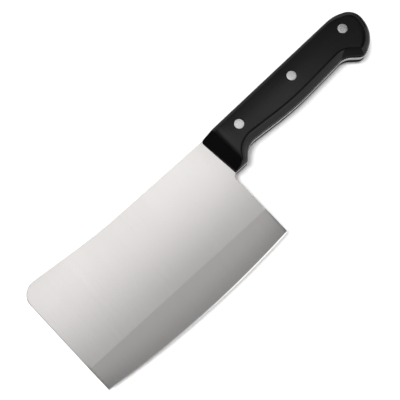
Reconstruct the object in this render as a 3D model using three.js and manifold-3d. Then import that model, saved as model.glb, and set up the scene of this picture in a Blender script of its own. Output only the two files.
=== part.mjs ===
// A meat cleaver: one broad blade with a full tang, and two black scales riveted to it.
//
// Millimetres. X runs from the blade's front to the butt of the handle, Y from the cutting edge
// to the spine, and Z through the thickness. The knife lies on the flat of its right scale.
// Outline places are measured along X from the top front corner of the scales, and along Y from
// the line on which the three rivets sit. Depths lie below that line, heights above it.

import * as THREE from "three";
import { mergeVertices } from "three/addons/utils/BufferGeometryUtils.js";
import Module from "manifold-3d";

// Blade outline
const bladeThickness = 3.5;
const edgeLength = 150;
const edgeRadius = 700;
const heelDepth = 71.7;
const heelSetback = 0.7;
const frontDepth = 66.1;
const frontLean = 0.8;
const frontCornerRadius = 10;
const spineFrontHeight = 18.2;
const spineBendX = 90;
const spineBendHeight = 11.3;
const spineBendRadius = 350;
const spineHeelHeight = 9.75;
const notchRadius = 3.5;

// Blade grind: the main grind starts at a straight line, and the sharpened bevel follows the edge
const grindHeelDepth = 51.4;
const grindFrontDepth = 48.4;
const shoulderThickness = 0.9;
const bevelWidth = 1.2;
const edgeThickness = 0.2;

// Handle outline, shared by the tang and both scales
const handleLength = 136.8;
const scaleFrontLean = 2.7;
const guardDepth = 20.9;
const guardLength = 9.7;
const guardRadius = 1.5;
const fingerSlopeRun = 8.4;
const gripFrontDepth = 12.7;
const gripFrontRadius = 10;
const gripSwellX = 61.8;
const gripSwellDepth = 16.5;
const gripSwellRadius = 206;
const hookRootFromButt = 27;
const hookRootDepth = 14.3;
const hookRootRadius = 11.3;
const hookTipFromButt = 17.1;
const hookTipDepth = 22.7;
const hookTipRadius = 1.6;
const buttLowDepth = 15.1;
const buttLowRadius = 20.7;
const buttHighHeight = 5.4;
const buttHighRadius = 10.8;
const buttShoulderFromButt = 13.6;
const buttShoulderHeight = 11.2;
const buttShoulderRadius = 30;

// Scale section: a straight wall at the tang, then a chamfer up to the flat of the grip
const scaleThickness = 8;
const straightWall = 4.2;
const guardChamfer = 3;
const gripChamfer = 3.9;
const buttChamfer = 3.9;
const spineChamfer = 2.4;
const ridgeRadius = 0.3;

// Nose of each scale, sloping down to the blade
const noseThickness = 1;
const noseLength = 10.7;
const noseRadius = 5;
const noseCornerRadius = 2;

// Rivets: a post driven into a sleeve, each with a flush head
const frontRivetX = 24.7;
const rearRivetFromButt = 16;
const headDiameter = 6.6;
const headThickness = 2;
const sleeveDiameter = 4.6;
const postDiameter = 2.4;
const clearance = 0.3;

// Facets on each rounded corner, along the cutting edge and around a rivet
const cornerSteps = 8;
const edgeSteps = 24;
const roundSteps = 32;

// How far a cutting tool reaches past what it cuts
const overrun = 5;

const wasm = await Module();
wasm.setup();

const halfBlade = bladeThickness / 2;
const faceZ = halfBlade + scaleThickness;

// The corners that rounded outlines are drawn through. A chamfer belongs to the side that
// starts at its corner.
function corner(x, y, radius = 0, chamfer = 0) {
  return { point: new THREE.Vector2(x, y), radius, chamfer };
}

function directionBetween(start, end) {
  return end.point.clone().sub(start.point).normalize();
}

// How far from each corner its arc starts. Where two arcs meet on one side and don't both fit,
// both are shortened alike.
function tangentLengths(corners) {
  const count = corners.length;
  const wanted = corners.map((here, i) => {
    const arriving = directionBetween(corners[(i + count - 1) % count], here);
    const leaving = directionBetween(here, corners[(i + 1) % count]);
    const turn = Math.acos(THREE.MathUtils.clamp(arriving.dot(leaving), -1, 1));
    return here.radius * Math.tan(turn / 2);
  });
  const sideShare = corners.map((here, i) => {
    const next = (i + 1) % count;
    const side = here.point.distanceTo(corners[next].point);
    return Math.min(1, side / Math.max(wanted[i] + wanted[next], Number.EPSILON));
  });
  return wanted.map((length, i) => length * Math.min(sideShare[i], sideShare[(i + count - 1) % count]));
}

// Points of a closed outline with each corner rounded by an arc that is tangent to both sides
function roundedOutline(corners) {
  const count = corners.length;
  const tangents = tangentLengths(corners);
  return corners.flatMap((here, i) => {
    if (here.radius === 0) {
      return [here.point.clone()];
    }
    const arriving = directionBetween(corners[(i + count - 1) % count], here);
    const leaving = directionBetween(here, corners[(i + 1) % count]);
    const start = here.point.clone().addScaledVector(arriving, -tangents[i]);
    const turnsLeft = arriving.cross(leaving) > 0;
    const turn = Math.acos(THREE.MathUtils.clamp(arriving.dot(leaving), -1, 1));
    const radius = tangents[i] / Math.tan(turn / 2);
    const toCentre = new THREE.Vector2(-arriving.y, arriving.x).multiplyScalar(turnsLeft ? 1 : -1);
    const centre = start.clone().addScaledVector(toCentre, radius);
    const startAngle = start.clone().sub(centre).angle();
    const endAngle = startAngle + (turnsLeft ? turn : -turn);
    const arc = new THREE.EllipseCurve(centre.x, centre.y, radius, radius, startAngle, endAngle, !turnsLeft);
    return arc.getPoints(cornerSteps);
  });
}

// The same corners with every side moved inwards by its chamfer. Arcs keep their centres, so an
// outer corner gets a smaller radius and an inner one a larger radius.
function insetCorners(corners) {
  const count = corners.length;
  return corners.map((here, i) => {
    const previous = corners[(i + count - 1) % count];
    const arriving = directionBetween(previous, here);
    const leaving = directionBetween(here, corners[(i + 1) % count]);
    const bend = arriving.cross(leaving);
    const along = (here.chamfer - previous.chamfer * arriving.dot(leaving)) / bend;
    const inwards = new THREE.Vector2(-arriving.y, arriving.x);
    const point = here.point.clone()
      .addScaledVector(inwards, previous.chamfer)
      .addScaledVector(arriving, -along);
    const depth = (previous.chamfer + here.chamfer) / 2;
    const radius = bend > 0 ? Math.max(here.radius - depth, ridgeRadius) : here.radius + depth;
    return { point, radius: here.radius === 0 ? 0 : radius, chamfer: here.chamfer };
  });
}

// A closed solid through loops of points, with flat ends. The loops run anticlockwise in the
// plane that flatten gives, and follow each other along that plane's normal.
function loft(loops, flatten) {
  const count = loops[0].length;
  const lastLoop = (loops.length - 1) * count;
  const triangles = [];
  for (let layer = 0; layer < lastLoop; layer += count) {
    for (let i = 0; i < count; i += 1) {
      const here = layer + i;
      const next = layer + ((i + 1) % count);
      triangles.push(here, next, next + count, here, next + count, here + count);
    }
  }
  for (const [a, b, c] of THREE.ShapeUtils.triangulateShape(loops[0].map(flatten), [])) {
    triangles.push(c, b, a);
  }
  for (const [a, b, c] of THREE.ShapeUtils.triangulateShape(loops[loops.length - 1].map(flatten), [])) {
    triangles.push(lastLoop + a, lastLoop + b, lastLoop + c);
  }
  const geometry = new THREE.BufferGeometry();
  geometry.setFromPoints(loops.flat());
  geometry.setIndex(triangles);
  return geometry;
}

// The same solid on the other side of the blade
function mirrored(geometry) {
  const copy = geometry.clone().scale(1, 1, -1);
  const index = copy.index.array;
  for (let i = 0; i < index.length; i += 3) {
    [index[i + 1], index[i + 2]] = [index[i + 2], index[i + 1]];
  }
  return copy;
}

function toSolid(geometry) {
  const bare = geometry.clone();
  bare.deleteAttribute("normal");
  bare.deleteAttribute("uv");
  const merged = mergeVertices(bare);
  const vertProperties = Float32Array.from(merged.attributes.position.array);
  const triVerts = Uint32Array.from(merged.index.array);
  return new wasm.Manifold(new wasm.Mesh({ numProp: 3, vertProperties, triVerts }));
}

function cutAway(geometry, cutters) {
  const solid = cutters.reduce((left, cutter) => left.subtract(toSolid(cutter)), toSolid(geometry));
  const mesh = solid.getMesh();
  const result = new THREE.BufferGeometry();
  result.setAttribute("position", new THREE.BufferAttribute(mesh.vertProperties, mesh.numProp));
  result.setIndex(new THREE.BufferAttribute(mesh.triVerts, 1));
  result.computeVertexNormals();
  return result;
}

// The cutting edge: one long arc from the front corner to the heel corner
const heelCorner = new THREE.Vector2(-heelSetback, -heelDepth);
const frontCorner = new THREE.Vector2(-heelSetback - edgeLength, -frontDepth);
const edgeMiddle = heelCorner.clone().add(frontCorner).divideScalar(2);
const edgeAlong = heelCorner.clone().sub(frontCorner).normalize();
const halfChord = heelCorner.distanceTo(frontCorner) / 2;
const edgeCentre = edgeMiddle.clone().addScaledVector(
  new THREE.Vector2(-edgeAlong.y, edgeAlong.x),
  Math.sqrt(edgeRadius ** 2 - halfChord ** 2),
);

function edgeY(x) {
  return edgeCentre.y - Math.sqrt(edgeRadius ** 2 - (x - edgeCentre.x) ** 2);
}

function grindY(x) {
  const share = (heelCorner.x - x) / edgeLength;
  return THREE.MathUtils.lerp(-grindHeelDepth, -grindFrontDepth, share);
}

// Handle outline, anticlockwise from the front of the guard
const guardEndX = scaleFrontLean + guardLength;
const handleCorners = [
  corner(scaleFrontLean, -guardDepth, 0, guardChamfer),
  corner(guardEndX, -guardDepth, guardRadius, gripChamfer),
  corner(guardEndX + fingerSlopeRun, -gripFrontDepth, gripFrontRadius, gripChamfer),
  corner(gripSwellX, -gripSwellDepth, gripSwellRadius, gripChamfer),
  corner(handleLength - hookRootFromButt, -hookRootDepth, hookRootRadius, gripChamfer),
  corner(handleLength - hookTipFromButt, -hookTipDepth, hookTipRadius, buttChamfer),
  corner(handleLength, -buttLowDepth, buttLowRadius, buttChamfer),
  corner(handleLength, buttHighHeight, buttHighRadius, buttChamfer),
  corner(handleLength - buttShoulderFromButt, buttShoulderHeight, buttShoulderRadius, spineChamfer),
  corner(0, spineHeelHeight, noseCornerRadius),
];

// Blade outline: the cutting edge, the notch behind the heel, the tang, the spine and the front
const edgeCorners = Array.from({ length: edgeSteps + 1 }, (_, i) => {
  const x = THREE.MathUtils.lerp(frontCorner.x, heelCorner.x, i / edgeSteps);
  return corner(x, edgeY(x));
});
const bladeCorners = [
  ...edgeCorners,
  corner(-heelSetback, -guardDepth, notchRadius),
  ...handleCorners.slice(1, -1),
  corner(0, spineHeelHeight),
  corner(-spineBendX, spineBendHeight, spineBendRadius),
  corner(frontCorner.x - frontLean, spineFrontHeight, frontCornerRadius),
];

// Rivet places along the handle, the middle one halfway between the other two
const rearRivetX = handleLength - rearRivetFromButt;
const rivetPlaces = {
  front: frontRivetX,
  middle: (frontRivetX + rearRivetX) / 2,
  rear: rearRivetX,
};

// What the grind and the bevel take off the left face of the blade
function grindCutter() {
  const bevelSlope = (shoulderThickness - edgeThickness) / 2 / bevelWidth;
  const loops = [];
  for (let i = -1; i <= edgeSteps + 1; i += 1) {
    const x = THREE.MathUtils.lerp(frontCorner.x, heelCorner.x, i / edgeSteps);
    const edge = edgeY(x);
    const shoulder = edge + bevelWidth;
    const grind = grindY(x);
    const grindSlope = (bladeThickness - shoulderThickness) / 2 / (grind - shoulder);
    loops.push([
      new THREE.Vector3(x, edge - bevelWidth, edgeThickness / 2 - bevelWidth * bevelSlope),
      new THREE.Vector3(x, shoulder, shoulderThickness / 2),
      new THREE.Vector3(x, grind + overrun, halfBlade + overrun * grindSlope),
      new THREE.Vector3(x, grind + overrun, bladeThickness + overrun),
      new THREE.Vector3(x, edge - bevelWidth, bladeThickness + overrun),
    ]);
  }
  return loft(loops, (point) => new THREE.Vector2(point.y, point.z));
}

function bladeGeometry() {
  const outline = new THREE.Shape(roundedOutline(bladeCorners));
  for (const x of Object.values(rivetPlaces)) {
    outline.holes.push(new THREE.Path().absarc(x, 0, sleeveDiameter / 2 + clearance, 0, 2 * Math.PI));
  }
  const plate = new THREE.ExtrudeGeometry(outline, { depth: bladeThickness, bevelEnabled: false });
  plate.translate(0, 0, -halfBlade);
  const grind = grindCutter();
  return cutAway(plate, [grind, mirrored(grind)]);
}

// A round hole through a scale, from one height to another
function holeCutter(x, diameter, bottom, top) {
  const cutter = new THREE.CylinderGeometry(diameter / 2, diameter / 2, top - bottom, roundSteps);
  cutter.rotateX(Math.PI / 2);
  cutter.translate(x, 0, (top + bottom) / 2);
  return cutter;
}

// What the nose slope takes off the front of the left scale
function noseCutter() {
  const slope = (scaleThickness - noseThickness) / noseLength;
  const noseZ = halfBlade + noseThickness;
  const profile = roundedOutline([
    corner(-overrun, noseZ - overrun * slope),
    corner(noseLength, faceZ, noseRadius),
    corner(noseLength + 2 * overrun, faceZ),
    corner(noseLength + 2 * overrun, faceZ + overrun),
    corner(-overrun, faceZ + overrun),
  ]);
  const top = Math.max(spineHeelHeight, buttShoulderHeight) + overrun;
  const bottom = -guardDepth - overrun;
  const loops = [top, bottom].map((y) => profile.map((point) => new THREE.Vector3(point.x, y, point.y)));
  return loft(loops, (point) => new THREE.Vector2(point.x, point.z));
}

// The left scale. The right one is its mirror image.
function scaleGeometry() {
  const outline = roundedOutline(handleCorners);
  const grip = roundedOutline(insetCorners(handleCorners));
  const layers = [
    [outline, halfBlade],
    [outline, halfBlade + straightWall],
    [grip, faceZ],
  ];
  const loops = layers.map(([points, z]) => points.map((point) => new THREE.Vector3(point.x, point.y, z)));
  const block = loft(loops, (point) => new THREE.Vector2(point.x, point.y));
  const holes = Object.values(rivetPlaces).flatMap((x) => [
    holeCutter(x, headDiameter + 2 * clearance, faceZ - headThickness, faceZ + overrun),
    holeCutter(x, sleeveDiameter + 2 * clearance, halfBlade - overrun, faceZ),
  ]);
  return cutAway(block, [noseCutter(), ...holes]);
}

// A turned piece from its profile of radius and height
function turned(profile) {
  const points = profile.map(([radius, height]) => new THREE.Vector2(radius, height));
  return new THREE.LatheGeometry(points, roundSteps).rotateX(Math.PI / 2);
}

// The left half of a rivet: a flush head on a solid post
function postGeometry() {
  const seatZ = faceZ - headThickness;
  const postEnd = -seatZ + clearance;
  return turned([
    [0, postEnd],
    [postDiameter / 2, postEnd],
    [postDiameter / 2, seatZ],
    [headDiameter / 2, seatZ],
    [headDiameter / 2, faceZ],
    [0, faceZ],
  ]);
}

// The right half of a rivet: a flush head on a sleeve that takes the post
function sleeveGeometry() {
  const seatZ = faceZ - headThickness;
  const sleeveEnd = seatZ - clearance;
  const bore = postDiameter / 2 + clearance;
  return turned([
    [0, -faceZ],
    [headDiameter / 2, -faceZ],
    [headDiameter / 2, -seatZ],
    [sleeveDiameter / 2, -seatZ],
    [sleeveDiameter / 2, sleeveEnd],
    [bore, sleeveEnd],
    [bore, -seatZ],
    [0, -seatZ],
  ]);
}

const cleaver = new THREE.Group();

function addPart(name, geometry, finish, x = 0) {
  const part = new THREE.Mesh(geometry, new THREE.MeshStandardMaterial(finish));
  part.name = name;
  part.position.x = x;
  cleaver.add(part);
}

const steelFinish = { color: 0xc8c7c5, roughness: 0.35, metalness: 1 };
const scaleFinish = { color: 0x1f1f20, roughness: 0.45, metalness: 0 };
const rivetFinish = { color: 0xc4c4c2, roughness: 0.4, metalness: 1 };

const leftScale = scaleGeometry();
addPart("blade", bladeGeometry(), steelFinish);
addPart("left_handle_scale", leftScale, scaleFinish);
addPart("right_handle_scale", mirrored(leftScale), scaleFinish);
for (const [place, x] of Object.entries(rivetPlaces)) {
  addPart(`${place}_rivet_post`, postGeometry(), rivetFinish, x);
  addPart(`${place}_rivet_sleeve`, sleeveGeometry(), rivetFinish, x);
}

// The origin lies under the middle of the knife, on the surface that it rests on
const extent = new THREE.Box3().setFromObject(cleaver);
const middle = extent.getCenter(new THREE.Vector3());
cleaver.position.set(-middle.x, -middle.y, -extent.min.z);

export default cleaver;
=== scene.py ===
"""Looks of a meat cleaver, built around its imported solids.

Sizes are in millimetres on the cleaver's own drawing: x runs from the top front corner of the scales
towards the butt, y upwards from the line of the rivets, and height from the middle plane of the blade.
They become metres in the frame of the solids when a mesh is made. The stage is in metres in that frame.
"""

import math

import bpy
import numpy as np
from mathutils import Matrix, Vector
from mathutils.geometry import delaunay_2d_cdt


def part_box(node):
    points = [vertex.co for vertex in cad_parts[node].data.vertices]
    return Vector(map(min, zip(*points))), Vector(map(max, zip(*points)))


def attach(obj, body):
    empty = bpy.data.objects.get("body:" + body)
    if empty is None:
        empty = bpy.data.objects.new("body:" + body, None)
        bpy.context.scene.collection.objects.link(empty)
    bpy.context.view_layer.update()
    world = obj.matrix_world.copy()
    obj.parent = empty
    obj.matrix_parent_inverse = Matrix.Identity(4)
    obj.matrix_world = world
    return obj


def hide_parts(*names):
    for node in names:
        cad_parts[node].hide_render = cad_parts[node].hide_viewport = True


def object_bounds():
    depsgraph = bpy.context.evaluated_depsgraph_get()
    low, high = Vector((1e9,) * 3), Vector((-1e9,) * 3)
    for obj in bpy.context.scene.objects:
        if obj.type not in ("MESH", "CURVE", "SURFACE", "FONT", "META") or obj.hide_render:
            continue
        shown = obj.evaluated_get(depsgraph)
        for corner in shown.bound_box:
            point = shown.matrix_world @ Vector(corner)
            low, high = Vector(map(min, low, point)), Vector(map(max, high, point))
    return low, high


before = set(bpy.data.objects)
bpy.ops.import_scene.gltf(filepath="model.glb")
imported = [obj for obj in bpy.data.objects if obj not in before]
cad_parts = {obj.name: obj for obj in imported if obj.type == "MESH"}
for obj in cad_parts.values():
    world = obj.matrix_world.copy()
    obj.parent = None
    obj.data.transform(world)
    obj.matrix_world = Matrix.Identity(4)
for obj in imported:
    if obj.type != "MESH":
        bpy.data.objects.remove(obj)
cad_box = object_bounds()

MM = 0.001

# Blade outline and grind
HALF_BLADE = 1.75
EDGE_LENGTH = 150.0
EDGE_RADIUS = 700.0
HEEL_DEPTH = 71.7
HEEL_SETBACK = 0.7
FRONT_DEPTH = 66.1
FRONT_LEAN = 0.8
FRONT_CORNER_RADIUS = 10.0
SPINE_FRONT_HEIGHT = 18.2
SPINE_BEND = (-90.0, 11.3, 350.0)
SPINE_HEEL_HEIGHT = 9.75
NOTCH_RADIUS = 3.5
GRIND_HEEL_DEPTH = 51.4
GRIND_FRONT_DEPTH = 48.4
GRIND_START = 0.52
HALF_SHOULDER = 0.45
BEVEL_WIDTH = 0.85
HALF_EDGE = 0.08
HEEL_SLACK = 1.0

# The blade's rim: its width, its rings as shares of depth and drop, the most that it drops as a share of
# the half thickness, and how far back its front gets the cut-edge steel darkened with painted shade
RIM = 0.32
RIM_RINGS = ((0.0, 1.0), (0.3, 0.29), (1.0, 0.0))
RIM_MOST_DROP = 0.5
FRONT_SHADE_REACH = 1.5

# Handle outline
HANDLE_LENGTH = 136.8
GUARD_DEPTH = 20.9
SCALE_FRONT_LEAN = 2.7
NOSE_CORNER_RADIUS = 2.0
FRONT_LAP = 0.4

# Scale section and nose
FACE = 9.75
WALL_TOP = 5.95
WALL_ROUND = 1.0
CHAMFER = 3.9
SEAM = 0.12
EDGE_ROUND = 0.15
RIDGE_SOFT = 1.7
NOSE_BOTTOM = 2.75
NOSE_LENGTH = 11.6
NOSE_RADIUS = 11.0
CROWN_START = -3.0
CROWN_RATE = 0.0036
CROWN_FADE = (75.0, 115.0)
CROWN_LOSS = 0.75

# The sanded finish of the nose: how far back it goes, how far below the face, and from which share inwards
NOSE_SANDED = 9.8
NOSE_SLACK = 0.25
NOSE_EDGE_SHARE = 0.2

# Rivets, and the crown of their heads as shares of the radius and drops below the face
RIVETS = {"front": 24.7, "middle": 72.75, "rear": 120.8}
HEAD_RADIUS = 3.3
HEAD_THICKNESS = 2.0
HEAD_GAP = 0.06
HEAD_CROWN = ((1.0, 0.14), (0.985, 0.09), (0.955, 0.055), (0.9, 0.036), (0.7, 0.018), (0.4, 0.005))
SEAT = FACE - HEAD_THICKNESS
SLEEVE_RADIUS = 2.3
POST_RADIUS = 1.2
POST_TIP = 0.2
RIVET_GAP = 0.3

# How finely the meshes are divided
BLADE_STEP = 1.2
EDGE_POINTS = 151
LINE_POINTS = 100
LINE_MARGIN = 1.0
GRIND_SHARES = (0.2, 0.4, 0.6, 0.8)
TANG_HOLE_POINTS = 48
SCALE_STEP = 0.8
WALL_ROUND_POINTS = 7
CHAMFER_SHARES = (
    0.12, 0.2, 0.3, 0.4, 0.5, 0.6, 0.68, 0.76, 0.83, 0.9,
    0.96, 1.02, 1.08, 1.14, 1.2, 1.27, 1.34, 1.42, 1.5,
)
ROUND_POINTS = 64
LEAST_ARC_POINTS = 6
ARC_ANGLE = 0.1

# Tolerances of the outlines and the fills, and the kind of fill
LEAST_SIDE = 0.001
LEAST_LENGTH = 1e-9
TRIANGLES_INSIDE = 1
MERGE_DISTANCE = 1e-7

# The face's inner points: from, to and step along x and step along y, for the nose, its bend and the rest
GRID_RUNS = ((1.6, 8.6, 1.0, 1.0), (8.7, 13.0, 0.3, 1.0), (14.0, HANDLE_LENGTH, 4.0, 4.0))
GRID_SPAN = (-24, 13)
GRID_INSET = 1.6
GRID_HEAD_MARGIN = 0.6

# Shading of the meshes
SHARP_ANGLE = math.radians(38)
NORMAL_WEIGHT = 60

# The drawing's place in the frame
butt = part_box("left_handle_scale")[1][0] / MM
rivet_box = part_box("front_rivet_post")
blade_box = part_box("blade")
ORIGIN = np.array([
    butt - HANDLE_LENGTH,
    (rivet_box[0][1] + rivet_box[1][1]) / 2 / MM,
    (blade_box[0][2] + blade_box[1][2]) / 2 / MM,
])


# Outlines with rounded corners. A corner is x, y, radius and the chamfer of the side that it starts.

def corner_facts(corners):
    """Points, arriving and leaving directions, side lengths, turns and tangent lengths of an outline."""
    points = np.array([c[:2] for c in corners], float)
    radii = np.array([c[2] for c in corners], float)
    along = np.roll(points, -1, 0) - points
    lengths = np.hypot(along[:, 0], along[:, 1])
    leaving = along / lengths[:, None]
    arriving = np.roll(leaving, 1, 0)
    bend = arriving[:, 0] * leaving[:, 1] - arriving[:, 1] * leaving[:, 0]
    turn = np.arctan2(bend, (arriving * leaving).sum(1))
    wanted = radii * np.tan(np.abs(turn) / 2)
    share = np.minimum(1, lengths / np.maximum(wanted + np.roll(wanted, -1), LEAST_LENGTH))
    tangent = wanted * np.minimum(share, np.roll(share, 1))
    return points, arriving, leaving, lengths, turn, tangent


def loop_counts(corners, step):
    """How many pieces each arc and each side is divided into."""
    _, _, _, lengths, turn, tangent = corner_facts(corners)
    straight = lengths - tangent - np.roll(tangent, -1)
    arcs = []
    for corner, angle, length in zip(corners, np.abs(turn), tangent):
        wanted = max(LEAST_ARC_POINTS, math.ceil(2 * length / step), math.ceil(angle / ARC_ANGLE))
        arcs.append(wanted if corner[2] else 0)
    return arcs, [math.ceil(length / step) if length > LEAST_SIDE else 0 for length in straight]


def rounded_loop(corners, counts):
    """Points along the outline, starting with the first corner's arc."""
    points, arriving, leaving, _, turn, tangent = corner_facts(corners)
    loop = []
    for i, (arc, side) in enumerate(zip(*counts)):
        start = points[i] - arriving[i] * tangent[i]
        if arc:
            radius = tangent[i] / math.tan(abs(turn[i]) / 2)
            towards = np.array([-arriving[i][1], arriving[i][0]]) * np.sign(turn[i])
            centre = start + towards * radius
            angles = math.atan2(*(start - centre)[::-1]) + turn[i] * np.linspace(0, 1, arc + 1)
            loop.extend(centre + radius * np.array([math.cos(a), math.sin(a)]) for a in angles)
        else:
            loop.append(points[i])
        if not side:
            loop.pop()
        following = (i + 1) % len(corners)
        begin = points[i] + leaving[i] * tangent[i]
        end = points[following] - leaving[i] * tangent[following]
        loop.extend(begin + (end - begin) * share for share in np.linspace(0, 1, side + 1)[1:-1])
    return np.array(loop)


def along_loop(values, counts):
    """A value per side as a value per point of the loop, blended along the arcs."""
    spread = []
    for i, (arc, side) in enumerate(zip(*counts)):
        blend = list(np.linspace(values[i - 1], values[i], arc + 1)) if arc else [values[i]]
        if not side:
            blend.pop()
        spread.extend(blend + [values[i]] * max(0, side - 1))
    return np.array(spread, float)


def inset(corners, share, least_radius=0.3):
    """The same corners with each side moved inwards by a share of its chamfer."""
    points, arriving, _, _, turn, _ = corner_facts(corners)
    chamfers = share * np.array([c[3] for c in corners])
    moved = []
    for i, (_, _, radius, chamfer) in enumerate(corners):
        before, here = chamfers[i - 1], chamfers[i]
        bend, straight = math.sin(turn[i]), math.cos(turn[i])
        inwards = np.array([-arriving[i][1], arriving[i][0]])
        place = points[i] + inwards * before - arriving[i] * (here - before * straight) / bend
        depth = (before + here) / 2
        size = max(radius - depth, least_radius) if bend > 0 else radius + depth
        moved.append((*place, size if radius else 0, chamfer))
    return moved


# The cutting edge and the handle, as outlines
heel = np.array([-HEEL_SETBACK, -HEEL_DEPTH])
front = np.array([-HEEL_SETBACK - EDGE_LENGTH, -FRONT_DEPTH])
chord = heel - front
across_chord = np.array([-chord[1], chord[0]]) / np.hypot(*chord)
edge_centre = (heel + front) / 2 + across_chord * math.sqrt(EDGE_RADIUS ** 2 - chord @ chord / 4)


def edge_y(x):
    """Where the cutting edge, an arc through the front and the heel, lies at x."""
    return edge_centre[1] - np.sqrt(EDGE_RADIUS ** 2 - (x - edge_centre[0]) ** 2)


def grind_y(x):
    """Where the straight line that the grind starts from lies at x."""
    share = (heel[0] - x) / EDGE_LENGTH
    return -GRIND_HEEL_DEPTH + share * (GRIND_HEEL_DEPTH - GRIND_FRONT_DEPTH)


handle_corners = [
    (12.4, -GUARD_DEPTH, 1.5, CHAMFER),
    (20.8, -12.7, 14.0, CHAMFER),
    (61.8, -16.5, 206.0, CHAMFER),
    (109.8, -14.3, 11.3, CHAMFER),
    (120.1, -23.4, 6.0, 4.2),
    (HANDLE_LENGTH, -15.1, 20.7, 5.4),
    (HANDLE_LENGTH, 5.4, 10.8, 4.2),
    (123.2, 11.2, 30.0, 2.4),
]
scale_corners = [
    (SCALE_FRONT_LEAN - FRONT_LAP, -GUARD_DEPTH, 0.5, 3.0),
    *handle_corners,
    (-FRONT_LAP, SPINE_HEEL_HEIGHT, NOSE_CORNER_RADIUS, 0.8),
]

# A scale's ten sides, from the one under the guard round by the butt and the spine to the front:
# how far each is rounded over and not chamfered, the height where its rounding starts, and the share of it
# that is rubbed dull. Shares past 0 and 1 set where along the hook's arc the dull finish ends.
ROUNDED_SIDES = (0, 0, 0, 0, 0, 0.5, 1, 1, 1, 1)
ROUND_BASES = (5.5, 5.5, 5.5, 5.5, 5.5, 6.0, 6.8, 7.1, 7.8, 7.0)
DULL_SHARES = (0, 0, 0, 0, 2.2, -3.0, 0.45, 0.45, 0, 0)
MOST_DULL = 1.05


# Meshes

def make_piece(name, points, faces, materials, material_of_face=None, sharp=()):
    """A mesh object from drawing points, riding on the part's one body."""
    world = (np.asarray(points, float) + ORIGIN) * MM
    world = np.clip(world, np.array(cad_box[0]), np.array(cad_box[1]))
    mesh = bpy.data.meshes.new(name)
    mesh.from_pydata(world.tolist(), [], [tuple(int(i) for i in f) for f in faces])
    mesh.validate()
    for material in materials:
        mesh.materials.append(material)
    if material_of_face is not None:
        mesh.polygons.foreach_set("material_index", np.asarray(material_of_face, np.int32))
    mesh.polygons.foreach_set("use_smooth", np.ones(len(mesh.polygons), bool))
    mesh.set_sharp_from_angle(angle=SHARP_ANGLE)
    wanted = {tuple(sorted(pair)) for pair in sharp}
    for edge in mesh.edges:
        if tuple(sorted(edge.vertices)) in wanted:
            edge.use_edge_sharp = True
    piece = bpy.data.objects.new(name, mesh)
    bpy.context.collection.objects.link(piece)
    weighted = piece.modifiers.new("even_normals", "WEIGHTED_NORMAL")
    weighted.keep_sharp = True
    weighted.weight = NORMAL_WEIGHT
    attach(piece, "root")
    return piece


def ring(centre_x, radius, count):
    angles = np.linspace(0, 2 * math.pi, count, endpoint=False)
    return np.c_[centre_x + radius * np.cos(angles), radius * np.sin(angles)]


def at_height(points, height):
    return np.c_[points, np.full(len(points), height)]


def inside(loop, points):
    """Which points lie inside a closed loop."""
    x, y = points[:, 0][:, None], points[:, 1][:, None]
    ax, ay = loop[:, 0], loop[:, 1]
    bx, by = np.roll(ax, -1), np.roll(ay, -1)
    spans = (ay > y) != (by > y)
    rise = np.where(by == ay, 1, by - ay)
    crossing = spans & (x < (bx - ax) * (y - ay) / rise + ax)
    return crossing.sum(1) % 2 == 1


def fill(loop, holes, lines=(), extra=None):
    """Triangles of a flat area with holes. Lines hold indices of loop and extra points to keep as edges."""
    points = [loop, *holes]
    edges = []
    start = 0
    for part in points:
        count = len(part)
        edges += [(start + i, start + (i + 1) % count) for i in range(count)]
        start += count
    if extra is not None:
        points.append(extra)
    for line in lines:
        edges += list(zip(line[:-1], line[1:]))
    flat = np.vstack(points)
    made = delaunay_2d_cdt([Vector(p) for p in flat], edges, [], TRIANGLES_INSIDE, MERGE_DISTANCE)
    first = [origin[0] for origin in made[3]]
    triangles = np.array([[first[i] for i in face] for face in made[2]])
    middles = flat[triangles].mean(1)
    keep = inside(loop, middles)
    for hole in holes:
        keep &= ~inside(hole, middles)
    return triangles[keep]


def strip(lower, upper, count):
    """Quads between two rings of points that start at these indices."""
    return [(lower + i, lower + (i + 1) % count, upper + (i + 1) % count, upper + i) for i in range(count)]


# The blade, with the order of its finishes

# Satin and ground steel, honed steel with a painted glint, and cut steel with painted shade
SATIN, GROUND, HONED_GLINT, CUT_PAINTED_SHADE = range(4)


def half_thickness(x, y):
    """Half of the blade's thickness: flat, then ground in a curve that starts gently, then the bevel."""
    shoulder = edge_y(x) + BEVEL_WIDTH
    grind = grind_y(x)
    down = (grind - y) / (grind - shoulder)
    ground = HALF_BLADE - (HALF_BLADE - HALF_SHOULDER) * (GRIND_START * down + (1 - GRIND_START) * down ** 2)
    bevel = HALF_EDGE + (HALF_SHOULDER - HALF_EDGE) * (y - edge_y(x)) / BEVEL_WIDTH
    thinned = np.where(down > 0, np.where(down < 1, ground, bevel), HALF_BLADE)
    on_blade = x < heel[0] + HEEL_SLACK
    return np.where(on_blade, np.maximum(thinned, HALF_EDGE), HALF_BLADE)


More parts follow.
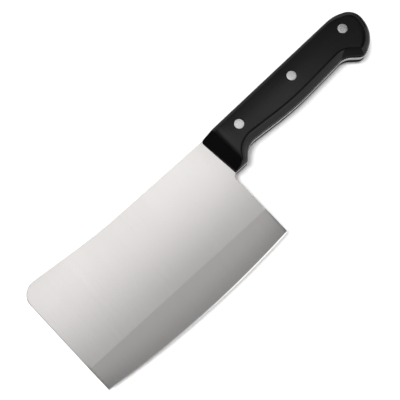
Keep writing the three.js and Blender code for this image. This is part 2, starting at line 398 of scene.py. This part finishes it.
def blade_outline():
    """The outline from the front along edge, handle and spine, and where bevel and grind end on it."""
    front_top = np.array([front[0] - FRONT_LEAN, SPINE_FRONT_HEIGHT])
    lean = (front_top - front) / (front_top[1] - front[1])
    front_grind = front + lean * (grind_y(front[0]) - front[1])
    front_shoulder = front + lean * BEVEL_WIDTH
    heel_shoulder = np.array([heel[0], edge_y(heel[0]) + BEVEL_WIDTH])
    heel_grind = np.array([heel[0], grind_y(heel[0])])
    corners = [(x, edge_y(x), 0.0, 0.0) for x in np.linspace(front[0], heel[0], EDGE_POINTS)]
    corners += [(*heel_shoulder, 0.0, 0.0), (*heel_grind, 0.0, 0.0)]
    corners += [(-HEEL_SETBACK, -GUARD_DEPTH, NOTCH_RADIUS, 0.0), *handle_corners]
    corners += [(0.0, SPINE_HEEL_HEIGHT, 0.0, 0.0), (*SPINE_BEND, 0.0)]
    corners += [(*front_top, FRONT_CORNER_RADIUS, 0.0)]
    corners += [(*front_grind, 0.0, 0.0), (*front_shoulder, 0.0, 0.0)]
    outline = rounded_loop(corners, loop_counts(corners, BLADE_STEP))

    def index_of(point):
        return int(np.argmin(np.hypot(*(outline - point).T)))

    shoulder_ends = index_of(front_shoulder), index_of(heel_shoulder)
    grind_ends = index_of(front_grind), index_of(heel_grind)
    return outline, shoulder_ends, grind_ends


def inward(outline):
    """How each point moves when its two sides move inwards by one."""
    along = np.roll(outline, -1, 0) - outline
    along /= np.hypot(along[:, 0], along[:, 1])[:, None]
    normal = np.c_[-along[:, 1], along[:, 0]]
    mean = normal + np.roll(normal, 1, 0)
    return mean / (mean * normal).sum(1)[:, None]


def blade_mesh():
    """Points, faces, the finish of each face, and the edges that stay sharp."""
    outline, shoulder_ends, grind_ends = blade_outline()
    count = len(outline)
    on_edge = np.arange(count) < EDGE_POINTS
    rings, heights = [], []
    for depth, drop in RIM_RINGS:
        place = outline + inward(outline) * (depth * RIM)
        height = half_thickness(place[:, 0], place[:, 1])
        dropped = height - np.minimum(drop * RIM, RIM_MOST_DROP * height)
        rings.append(place)
        heights.append(np.where(on_edge, height, dropped))

    holes = [ring(x, SLEEVE_RADIUS + RIVET_GAP, TANG_HOLE_POINTS) for x in RIVETS.values()]
    hole_points = len(holes) * TANG_HOLE_POINTS
    xs = np.linspace(front[0] + LINE_MARGIN, heel[0] - LINE_MARGIN, LINE_POINTS)
    shoulder_line = np.c_[xs, edge_y(xs) + BEVEL_WIDTH]
    grind_line = np.c_[xs, grind_y(xs)]
    between = [shoulder_line + (grind_line - shoulder_line) * share for share in GRIND_SHARES]
    extra = np.vstack([shoulder_line, grind_line, *between])
    shoulder_start = count + hole_points
    grind_start = shoulder_start + LINE_POINTS
    shoulder_run = [shoulder_ends[0], *range(shoulder_start, grind_start), shoulder_ends[1]]
    grind_run = [grind_ends[0], *range(grind_start, grind_start + LINE_POINTS), grind_ends[1]]
    triangles = fill(rings[-1], holes, [shoulder_run, grind_run], extra)
    flat = np.vstack([rings[-1], *holes, extra])
    extra_heights = half_thickness(extra[:, 0], extra[:, 1])
    flat_heights = np.r_[heights[-1], np.full(hole_points, HALF_BLADE), extra_heights]

    x, y = flat[triangles].mean(1).T
    below_grind = (x < heel[0]) & (y < grind_y(x))
    below_shoulder = (x < heel[0]) & (y < edge_y(np.clip(x, front[0], heel[0])) + BEVEL_WIDTH)
    flat_zones = np.where(below_shoulder, HONED_GLINT, np.where(below_grind, GROUND, SATIN))
    # The front rim takes the cut-edge steel, whose dark colour is painted shade along the blade's front edge
    shaded_front = outline[:, 0] < front[0] + FRONT_SHADE_REACH
    rim_zones = np.where(on_edge, HONED_GLINT, np.where(shaded_front, CUT_PAINTED_SHADE, SATIN))

    points, faces, zones, sharp = [], [], [], []
    starts = {}
    for side in (1, -1):
        start = sum(len(p) for p in points)
        starts[side] = start
        points += [np.c_[place, side * height] for place, height in zip(rings[:-1], heights[:-1])]
        points.append(np.c_[flat, side * flat_heights])
        inner_start = start + (len(rings) - 1) * count
        made = strip(start, start + count, count) + strip(start + count, inner_start, count)
        made += [tuple(t + inner_start) for t in triangles]
        faces += made if side > 0 else [f[::-1] for f in made]
        zones += [*rim_zones, *rim_zones, *flat_zones]
        for run in (shoulder_run, grind_run):
            sharp += [(inner_start + a, inner_start + b) for a, b in zip(run[:-1], run[1:])]
    top, bottom = starts[1], starts[-1]
    faces += strip(bottom, top, count)
    # The sides: honed steel with its painted glint along the cutting edge, cut steel with its painted shade
    # elsewhere
    zones += [HONED_GLINT if i < EDGE_POINTS - 1 else CUT_PAINTED_SHADE for i in range(count)]
    for number in range(len(holes)):
        start = len(rings) * count + number * TANG_HOLE_POINTS
        faces += [f[::-1] for f in strip(bottom + start, top + start, TANG_HOLE_POINTS)]
        zones += [SATIN] * TANG_HOLE_POINTS
    return np.vstack(points), faces, zones, sharp


# The scales, with the order of their finishes

POLISHED, SANDED, DULL = range(3)


def nose_height(x):
    """Height of the sloped nose and, past its bend, of the face."""
    slope = (FACE - NOSE_BOTTOM) / NOSE_LENGTH
    angle = math.atan(slope)
    reach = NOSE_RADIUS * math.tan(angle / 2)
    end = NOSE_LENGTH + reach
    begin = NOSE_LENGTH - reach * math.cos(angle)
    arc = FACE - NOSE_RADIUS + np.sqrt(NOSE_RADIUS ** 2 - np.clip(end - x, 0, end - begin) ** 2)
    return np.where(x < begin, NOSE_BOTTOM + slope * x, np.where(x < end, arc, FACE))


def top_height(points):
    """Height of a scale's outer face, which falls off a little towards the spine, less so near the butt."""
    fade = np.clip((points[:, 0] - CROWN_FADE[0]) / (CROWN_FADE[1] - CROWN_FADE[0]), 0, 1)
    rate = CROWN_RATE * (1 - CROWN_LOSS * fade * fade * (3 - 2 * fade))
    return nose_height(points[:, 0]) - rate * np.maximum(0, points[:, 1] - CROWN_START) ** 2


def soft_least(a, b, width):
    """The lesser of two heights, with a smooth change between them."""
    share = np.clip(0.5 + 0.5 * (b - a) / width, 0, 1)
    return b * (1 - share) + a * share - width * share * (1 - share)


def wall_profile():
    """Depth and height of a scale's rings: a round at the top of the wall, the chamfer, and on past it."""
    rise = FACE - WALL_TOP
    turn = math.atan2(CHAMFER, rise)
    start = WALL_TOP - WALL_ROUND * math.tan(turn / 2)
    profile = []
    for angle in turn * np.linspace(0, 1, WALL_ROUND_POINTS):
        profile.append((WALL_ROUND * (1 - math.cos(angle)), start + WALL_ROUND * math.sin(angle)))
    return profile + [(share * CHAMFER, WALL_TOP + share * rise) for share in CHAMFER_SHARES]


def scale_rings(counts):
    """Rings from the seam up the wall and over the edge, each with the share of the chamfer that it has."""
    outline = rounded_loop(scale_corners, counts)
    rounded = along_loop(ROUNDED_SIDES, counts)
    bases = along_loop(ROUND_BASES, counts)
    seam = rounded_loop(inset(scale_corners, SEAM / CHAMFER), counts)
    rings = [at_height(seam, HALF_BLADE), at_height(outline, HALF_BLADE + SEAM)]
    shares = [0.0, 0.0]
    for depth, height in wall_profile():
        share = depth / CHAMFER
        loop = rounded_loop(inset(scale_corners, share), counts)
        top = top_height(loop)
        away = np.clip(EDGE_ROUND - np.hypot(*(loop - outline).T), 0, EDGE_ROUND)
        highest = top - EDGE_ROUND + np.sqrt(EDGE_ROUND ** 2 - away ** 2)
        chamfered = soft_least(np.full(len(loop), height), highest, RIDGE_SOFT)
        over = bases + (top - bases) * math.sqrt(1 - max(0, 1 - share) ** 2)
        over = np.minimum(over, highest)
        rings.append(np.c_[loop, chamfered + rounded * (over - chamfered)])
        shares.append(share)
    return rings, shares


def face_grid(counts):
    """Points inside the face that let it follow its nose and its crown, clear of the rivet heads."""
    grid = np.array([
        (x, y)
        for start, end, step, across in GRID_RUNS
        for x in np.arange(start, end, step)
        for y in np.arange(*GRID_SPAN, across)
    ])
    clear = inside(rounded_loop(inset(scale_corners, GRID_INSET), counts), grid)
    for x in RIVETS.values():
        clear &= np.hypot(grid[:, 0] - x, grid[:, 1]) > HEAD_RADIUS + GRID_HEAD_MARGIN
    return grid[clear]


def scale_mesh():
    """Points, faces and the finish of each face of the left scale."""
    counts = loop_counts(scale_corners, SCALE_STEP)
    rings, shares = scale_rings(counts)
    count = len(rings[0])
    dull_share = np.minimum(along_loop(DULL_SHARES, counts), MOST_DULL)
    heads = [ring(x, HEAD_RADIUS + HEAD_GAP, ROUND_POINTS) for x in RIVETS.values()]
    shafts = [ring(x, SLEEVE_RADIUS + RIVET_GAP, ROUND_POINTS) for x in RIVETS.values()]
    hole_points = len(heads) * ROUND_POINTS
    grid = face_grid(counts)
    inner = rings[-1][:, :2]
    top = fill(inner, heads, extra=grid)
    top_points = np.vstack([inner, *heads, grid])
    top_heights = np.r_[rings[-1][:, 2], top_height(top_points[count:])]
    bottom = fill(rings[0][:, :2], shafts)

    points, faces, zones = [], [], []
    for number, (loop, share) in enumerate(zip(rings[:-1], shares[1:])):
        points.append(loop)
        faces += strip(number * count, (number + 1) * count, count)
        on_top = loop[:, 2] > top_height(loop) - NOSE_SLACK
        on_nose = (loop[:, 0] < NOSE_SANDED) & (share > NOSE_EDGE_SHARE) & on_top
        rim = np.where(share < dull_share, DULL, POLISHED)
        zones += list(np.where(on_nose | (number < 2), SANDED, rim))
    top_start = len(faces)
    points.append(np.c_[top_points, top_heights])
    faces += [tuple(t + top_start) for t in top]
    zones += list(np.where(top_points[top].mean(1)[:, 0] < NOSE_SANDED, SANDED, POLISHED))
    shaft_start = top_start + len(top_points)
    seat_start = shaft_start + hole_points
    bore_start = seat_start + hole_points
    points.append(at_height(np.vstack(shafts), HALF_BLADE))
    points.append(at_height(np.vstack(heads), SEAT))
    points.append(at_height(np.vstack(shafts), SEAT))
    of_bottom = np.r_[np.arange(count), shaft_start + np.arange(hole_points)]
    faces += [tuple(of_bottom[t][::-1]) for t in bottom]
    for number in range(len(heads)):
        offset = number * ROUND_POINTS
        steps = [start + offset for start in (top_start + count, seat_start, bore_start, shaft_start)]
        for upper, lower in zip(steps[:-1], steps[1:]):
            faces += strip(upper, lower, ROUND_POINTS)
    zones += [POLISHED] * (len(faces) - len(zones))
    return np.vstack(points), faces, zones


# The rivets

def turned(profile, x):
    """A solid of revolution about a rivet's axis, from its radius and height profile."""
    points, faces, starts = [], [], []
    for radius, height in profile:
        starts.append(len(points))
        if radius == 0:
            points.append((x, 0, height))
        else:
            points.extend((*p, height) for p in ring(x, radius, ROUND_POINTS))
    following = [(i, (i + 1) % ROUND_POINTS) for i in range(ROUND_POINTS)]
    for a, b, (ra, _), (rb, _) in zip(starts[:-1], starts[1:], profile[:-1], profile[1:]):
        if ra == 0:
            faces += [(a, b + after, b + i) for i, after in following]
        elif rb == 0:
            faces += [(a + i, a + after, b) for i, after in following]
        else:
            faces += strip(a, b, ROUND_POINTS)
    return np.array(points), faces


crown = [(HEAD_RADIUS * share, FACE - drop) for share, drop in HEAD_CROWN]


def post_profile():
    end = -SEAT + RIVET_GAP
    shaft = [(0, end), (POST_RADIUS - POST_TIP, end), (POST_RADIUS, end + POST_TIP), (POST_RADIUS, SEAT)]
    return shaft + [(HEAD_RADIUS, SEAT)] + crown + [(0, FACE)]


def sleeve_profile():
    end = SEAT - RIVET_GAP
    bore = POST_RADIUS + RIVET_GAP
    head = [(0, -FACE)] + [(radius, -height) for radius, height in crown[::-1]] + [(HEAD_RADIUS, -SEAT)]
    tube = [(SLEEVE_RADIUS, -SEAT), (SLEEVE_RADIUS, end), (bore, end), (bore, -SEAT), (0, -SEAT)]
    return head + tube


# Materials. Noise scales are per metre.

BUMP_DEPTH = 0.00002

# Steel: fine streaks, broad ones as shares of their scales and with a weight, and cloudy patches
BLADE_STREAK = (5200, 45, 45)
RIM_STREAK = (900, 900, 5200)
RIVET_STREAK = (2600, 700, 700)
BROAD_SHARES = (0.16, 0.4, 0.4)
BROAD_WEIGHT = 0.6
BLADE_PATCH = 26
RIVET_PATCH = 420

# Plastic: its grain, cloudy wear between two blacks, and scuffs
PLASTIC_GRAIN = (2600, 2600, 2600)
PLASTIC_GRAIN_BUMP = 0.12
PLASTIC_CLOUD = (38, 38, 38)
PLASTIC_BLACKS = ((0.0013, 0.0013, 0.0014), (0.0022, 0.0022, 0.0023))
SCUFF_STREAK = (90, 1500, 900)
SCUFF_TURN = 0.5
SCUFF_ROUGHNESS = 0.05
SCUFF_RELIEF = 0.35


def node(tree, kind, inputs=None, **settings):
    """A shader node with its settings, and with its inputs set or linked."""
    made = tree.nodes.new(kind)
    for key, value in settings.items():
        setattr(made, key, value)
    for key, value in (inputs or {}).items():
        if isinstance(value, bpy.types.NodeSocket):
            tree.links.new(value, made.inputs[key])
        else:
            made.inputs[key].default_value = value
    return made


def new_material(name):
    made = bpy.data.materials.new(name)
    made.use_nodes = True
    return made, made.node_tree, made.node_tree.nodes["Principled BSDF"]


def noise(tree, scale, turn=0.0, detail=3.0, roughness=0.55, distortion=0.0):
    """Noise over the object's own coordinates, stretched by a scale per metre along each axis."""
    place = node(tree, "ShaderNodeTexCoord")
    stretched = node(tree, "ShaderNodeMapping", {
        "Vector": place.outputs["Object"],
        "Rotation": (0, 0, turn),
        "Scale": scale,
    })
    return node(tree, "ShaderNodeTexNoise", {
        "Vector": stretched.outputs["Vector"],
        "Scale": 1.0,
        "Detail": detail,
        "Roughness": roughness,
        "Distortion": distortion,
    }).outputs["Fac"]


def span(tree, value, low, high, start=0.3, end=0.7):
    """A value that goes from low to high while another goes from start to end."""
    return node(tree, "ShaderNodeMapRange", {
        "Value": value, "From Min": start, "From Max": end, "To Min": low, "To Max": high,
    }).outputs["Result"]


def mixed(tree, share, first, second, start=0.3, end=0.7):
    """A colour that goes from the first to the second while the share goes from start to end."""
    ramp = node(tree, "ShaderNodeValToRGB", {"Fac": share})
    for element, position, colour in zip(ramp.color_ramp.elements, (start, end), (first, second)):
        element.position = position
        element.color = (*colour, 1)
    return ramp.outputs["Color"]


def summed(tree, first, second, factor):
    """The first value and the second times a factor."""
    return node(tree, "ShaderNodeMath", {0: second, 1: factor, 2: first}, operation="MULTIPLY_ADD").outputs[0]


def brushed_steel(name, dark, light, rough, turn, bump, streak=BLADE_STREAK, patch=BLADE_PATCH):
    """Steel with fine finishing lines and faint cloudy wear. Rough is its least, its most and its wear."""
    made, tree, shader = new_material(name)
    lines = noise(tree, streak, turn, detail=4.0, roughness=0.65)
    broad_streak = [scale * share for scale, share in zip(streak, BROAD_SHARES)]
    broad = noise(tree, broad_streak, turn, detail=2.0)
    cloud = noise(tree, (patch, patch, patch), distortion=0.4)
    both = summed(tree, lines, broad, BROAD_WEIGHT)
    even = 1 / (1 + BROAD_WEIGHT)
    share = node(tree, "ShaderNodeMath", {0: both, 1: even}, operation="MULTIPLY").outputs[0]
    tree.links.new(mixed(tree, share, dark, light), shader.inputs["Base Color"])
    least, most, wear = rough
    base = span(tree, lines, least, most)
    tree.links.new(summed(tree, base, cloud, wear), shader.inputs["Roughness"])
    shader.inputs["Metallic"].default_value = 1.0
    relief = node(tree, "ShaderNodeBump", {"Strength": bump, "Distance": BUMP_DEPTH, "Height": both})
    tree.links.new(relief.outputs["Normal"], shader.inputs["Normal"])
    return made


def handle_plastic(name, rough, specular):
    """Black moulded plastic with a fine grain, slightly polished by use."""
    made, tree, shader = new_material(name)
    grain = noise(tree, PLASTIC_GRAIN)
    cloud = noise(tree, PLASTIC_CLOUD, detail=4.0, distortion=0.6)
    scuffs = noise(tree, SCUFF_STREAK, SCUFF_TURN)
    tree.links.new(mixed(tree, cloud, *PLASTIC_BLACKS), shader.inputs["Base Color"])
    base = span(tree, cloud, *rough)
    tree.links.new(summed(tree, base, scuffs, SCUFF_ROUGHNESS), shader.inputs["Roughness"])
    shader.inputs["Specular IOR Level"].default_value = specular
    height = summed(tree, grain, scuffs, SCUFF_RELIEF)
    relief = node(tree, "ShaderNodeBump", {
        "Strength": PLASTIC_GRAIN_BUMP, "Distance": BUMP_DEPTH, "Height": height,
    })
    tree.links.new(relief.outputs["Normal"], shader.inputs["Normal"])
    return made


satin = brushed_steel(
    "blade_satin_steel", (0.742, 0.721, 0.71), (0.778, 0.756, 0.744),
    rough=(0.13, 0.17, 0.05), turn=0.0, bump=0.05,
)
ground = brushed_steel(
    "blade_ground_steel", (0.738, 0.717, 0.706), (0.777, 0.756, 0.744),
    rough=(0.14, 0.18, 0.05), turn=0.12, bump=0.06,
)
# The honed bevel: lighter steel, partly its polish and partly a painted glint along the cutting edge
honed_with_glint = brushed_steel(
    "blade_honed_edge_painted_glint", (0.86, 0.855, 0.85), (0.96, 0.955, 0.95),
    rough=(0.16, 0.22, 0.04), turn=0.5, bump=0.1,
)
# Cut steel of the blade's sides and front rim: rough, and its dark colour is painted shade that darkens the
# tang's line between the scales and the blade's front edge
cut_edge_painted_shade = brushed_steel(
    "blade_cut_edge_painted_shade", (0.27, 0.265, 0.26), (0.37, 0.363, 0.358),
    rough=(0.32, 0.42, 0.08), turn=0.0, bump=0.12, streak=RIM_STREAK,
)
plastic = handle_plastic("handle_black_plastic", rough=(0.17, 0.22), specular=0.4)
sanded = handle_plastic("handle_sanded_side", rough=(0.56, 0.66), specular=0.03)
dull = handle_plastic("handle_dull_rim", rough=(0.5, 0.6), specular=0.15)
rivet_metal = brushed_steel(
    "rivet_brushed_metal", (0.78, 0.78, 0.775), (1.0, 1.0, 0.99),
    rough=(0.16, 0.24, 0.2), turn=0.75, bump=0.4, streak=RIVET_STREAK, patch=RIVET_PATCH,
)

# Pieces
points, faces, zones, sharp = blade_mesh()
blade = make_piece("cleaver_blade", points, faces, [satin, ground, honed_with_glint, cut_edge_painted_shade], zones, sharp)
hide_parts("blade")

points, faces, zones = scale_mesh()
for name, side in (("left", 1), ("right", -1)):
    placed = points * np.array([1, 1, side])
    wound = faces if side > 0 else [f[::-1] for f in faces]
    scale = make_piece(f"{name}_scale", placed, wound, [plastic, sanded, dull], zones)
    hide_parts(f"{name}_handle_scale")

for name, x in RIVETS.items():
    for half, profile in (("post", post_profile()), ("sleeve", sleeve_profile())):
        points, faces = turned(profile, x)
        rivet = make_piece(f"{name}_{half}", points, faces, [rivet_metal])
        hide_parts(f"{name}_rivet_{half}")

# Camera: the photograph's own view of the blade's middle plane
AIM = np.array([-27.2, -18.0, 0.0])
DISTANCE = 522.2
AZIMUTH, ELEVATION = math.radians(-43.63), math.radians(78.0)
SENSOR, LENS = 36.0, 72.45
IMAGE_SIZE = 400
HALF_PIXEL = 0.5 / IMAGE_SIZE
back = np.array([
    math.sin(AZIMUTH) * math.cos(ELEVATION),
    -math.cos(AZIMUTH) * math.cos(ELEVATION),
    math.sin(ELEVATION),
])
camera = bpy.data.objects.new("camera", bpy.data.cameras.new("camera"))
bpy.context.collection.objects.link(camera)
camera.location = (AIM + ORIGIN + back * DISTANCE) * MM
camera.rotation_euler = Vector(-back).to_track_quat("-Z", "Y").to_euler()
camera.data.sensor_width = SENSOR
camera.data.lens = LENS
camera.data.shift_x = -HALF_PIXEL
camera.data.shift_y = HALF_PIXEL
camera.data.clip_start = 0.01
bpy.context.scene.camera = camera


# Stage: a pale floor under the right scale, and plain studio light

FLOOR_REACH = 40.0
FLOOR_HEIGHT = -0.0001
FLOOR_GLOW = 0.14


def stage_plane(name, corners, material, reflected_only=True):
    """A flat stage piece. Cards and flags show in reflections only, and cast no shadow."""
    mesh = bpy.data.meshes.new(name)
    mesh.from_pydata(corners, [], [range(len(corners))])
    mesh.materials.append(material)
    plane = bpy.data.objects.new(name, mesh)
    bpy.context.collection.objects.link(plane)
    plane.visible_camera = not reflected_only
    plane.visible_shadow = not reflected_only


def floor_paper():
    """Pale paper that also shows white by itself to the camera and in reflections."""
    made, tree, shader = new_material("floor_pale")
    shader.inputs["Base Color"].default_value = (0.9, 0.9, 0.9, 1)
    shader.inputs["Roughness"].default_value = 0.9
    shader.inputs["Specular IOR Level"].default_value = 0.1
    path = node(tree, "ShaderNodeLightPath").outputs
    seen = node(tree, "ShaderNodeMath", {0: path["Is Camera Ray"], 1: path["Is Glossy Ray"]}).outputs[0]
    shown = node(tree, "ShaderNodeMath", {0: seen, 1: path["Is Transmission Ray"]}, use_clamp=True).outputs[0]
    glow = node(tree, "ShaderNodeMath", {0: shown, 1: FLOOR_GLOW}, operation="MULTIPLY").outputs[0]
    shader.inputs["Emission Color"].default_value = (1, 1, 1, 1)
    tree.links.new(glow, shader.inputs["Emission Strength"])
    return made


def levels(tree, place, stops):
    """A level that runs through pairs of place and level."""
    first, last = stops[0][0], stops[-1][0]
    share = node(tree, "ShaderNodeMapRange", {"Value": place, "From Min": first, "From Max": last})
    ramp = node(tree, "ShaderNodeValToRGB", {"Fac": share.outputs["Result"]})
    while len(ramp.color_ramp.elements) < len(stops):
        ramp.color_ramp.elements.new(0.5)
    for element, (at, level) in zip(ramp.color_ramp.elements, stops):
        element.position = (at - first) / (last - first)
        element.color = (level, level, level, 1)
    return ramp.outputs["Color"]


def card_material(name):
    """A black material without gloss, to be given its light."""
    made, tree, shader = new_material(name)
    shader.inputs["Base Color"].default_value = (0, 0, 0, 1)
    shader.inputs["Specular IOR Level"].default_value = 0.0
    return made, tree, shader


def graded_card(name, across_stops, along_stops):
    """A soft card whose light changes across and along the part."""
    made, tree, shader = card_material(name)
    place = node(tree, "ShaderNodeTexCoord")
    axes = node(tree, "ShaderNodeSeparateXYZ", {"Vector": place.outputs["Object"]})
    across = levels(tree, axes.outputs["Y"], across_stops)
    along = levels(tree, axes.outputs["X"], along_stops)
    tree.links.new(across, shader.inputs["Emission Color"])
    tree.links.new(along, shader.inputs["Emission Strength"])
    return made


def plain_card(name, strength):
    """A card with the same light all over."""
    made, _, shader = card_material(name)
    shader.inputs["Emission Color"].default_value = (1, 1, 1, 1)
    shader.inputs["Emission Strength"].default_value = strength
    return made


def dark_flag():
    """Dull black for flags."""
    made, _, shader = new_material("dark_flag")
    shader.inputs["Base Color"].default_value = (0.01, 0.01, 0.01, 1)
    shader.inputs["Roughness"].default_value = 1.0
    shader.inputs["Specular IOR Level"].default_value = 0.0
    return made


floor_corners = [(-FLOOR_REACH, -FLOOR_REACH), (FLOOR_REACH, -FLOOR_REACH)]
floor_corners += [(FLOOR_REACH, FLOOR_REACH), (-FLOOR_REACH, FLOOR_REACH)]
stage_plane("floor", [(x, y, FLOOR_HEIGHT) for x, y in floor_corners], floor_paper(), False)

# Two cards side by side overhead, one for the blade and one for the handle: their light as pairs of place
# and level, across the part from the edge to the spine and along it from the front to the butt
CARD_HEIGHT = 1.0
CARD_FRONT, CARD_END = -1.25, 1.3
CARD_TOP, CARD_BOTTOM = 0.6, -0.6
SPLIT_TOP, SPLIT_BOTTOM = (0.17, CARD_TOP), (0.45, CARD_BOTTOM)
BLADE_CARD_CUT = (-0.35, CARD_BOTTOM)
BLADE_ACROSS = (
    (-0.6, 0.07), (-0.35, 0.1), (-0.25, 0.2), (-0.15, 0.325), (-0.05, 0.49), (0.03, 0.425), (0.08, 0.43),
    (0.13, 0.79), (0.19, 1.07), (0.26, 1.19), (0.31, 1.23), (0.36, 0.6), (0.48, 0.25),
)
BLADE_ALONG = (
    (-1.25, 0.05), (-0.6, 0.05), (-0.42, 0.45), (-0.28, 1.0),
    (0.0, 1.01), (0.2, 1.12), (0.25, 1.05), (0.28, 0.4),
)
HANDLE_ACROSS = ((-0.6, 0.2), (0.02, 0.2), (0.07, 1.0), (0.22, 1.0), (0.29, 0.25), (0.6, 0.2))
HANDLE_ALONG = (
    (0.25, 0.15), (0.29, 0.5), (0.325, 1.7), (0.39, 1.45), (0.44, 0.8), (0.5, 0.45),
    (0.58, 0.28), (0.7, 0.17), (1.3, 0.08),
)


def overhead(*corners):
    """Corners of a card or flag that hangs level above the part."""
    return [(x, y, CARD_HEIGHT) for x, y in corners]


stage_plane("blade_card", overhead(
    (CARD_FRONT, -0.1), (CARD_FRONT, CARD_TOP), SPLIT_TOP, SPLIT_BOTTOM, BLADE_CARD_CUT,
), graded_card("blade_card", BLADE_ACROSS, BLADE_ALONG))
stage_plane("handle_card", overhead(
    SPLIT_BOTTOM, SPLIT_TOP, (CARD_END, CARD_TOP), (CARD_END, -0.45),
), graded_card("handle_card", HANDLE_ACROSS, HANDLE_ALONG))

# Dark flags that the butt and the bevel's front half reflect, and a card that its heel end reflects
FLAG_X = 1.6
EDGE_CARD_Y = -0.95
EDGE_CARD_GLOW = 1.3
black = dark_flag()
stage_plane("butt_flag", [
    (FLAG_X, y, height) for y, height in ((-0.2, 0.05), (0.75, 0.05), (0.75, 0.8), (-0.2, 0.8))
], black)
stage_plane("bevel_flag", overhead(SPLIT_BOTTOM, BLADE_CARD_CUT, (-0.4, -1.1)), black)
stage_plane("edge_card", [
    (x, EDGE_CARD_Y, height) for x, height in ((0.04, 0.6), (0.5, 0.6), (0.5, 1.1), (0.04, 1.1))
], plain_card("edge_card", EDGE_CARD_GLOW))

# A soft sun that shows in no reflection, and an even white surround
LAMP_DIRECTION = Vector((0.25, -0.09, -1))
LAMP_STRENGTH = 2.2
LAMP_ANGLE = math.radians(16)
WORLD_STRENGTH = 0.85
lamp = bpy.data.objects.new("key_lamp", bpy.data.lights.new("key_lamp", "SUN"))
bpy.context.collection.objects.link(lamp)
lamp.data.energy = LAMP_STRENGTH
lamp.data.angle = LAMP_ANGLE
lamp.rotation_euler = LAMP_DIRECTION.to_track_quat("-Z", "Y").to_euler()
lamp.visible_glossy = False

world = bpy.data.worlds.new("studio")
bpy.context.scene.world = world
world.use_nodes = True
background = world.node_tree.nodes["Background"]
background.inputs["Color"].default_value = (1, 1, 1, 1)
background.inputs["Strength"].default_value = WORLD_STRENGTH

bpy.context.scene.view_settings.view_transform = "Standard"
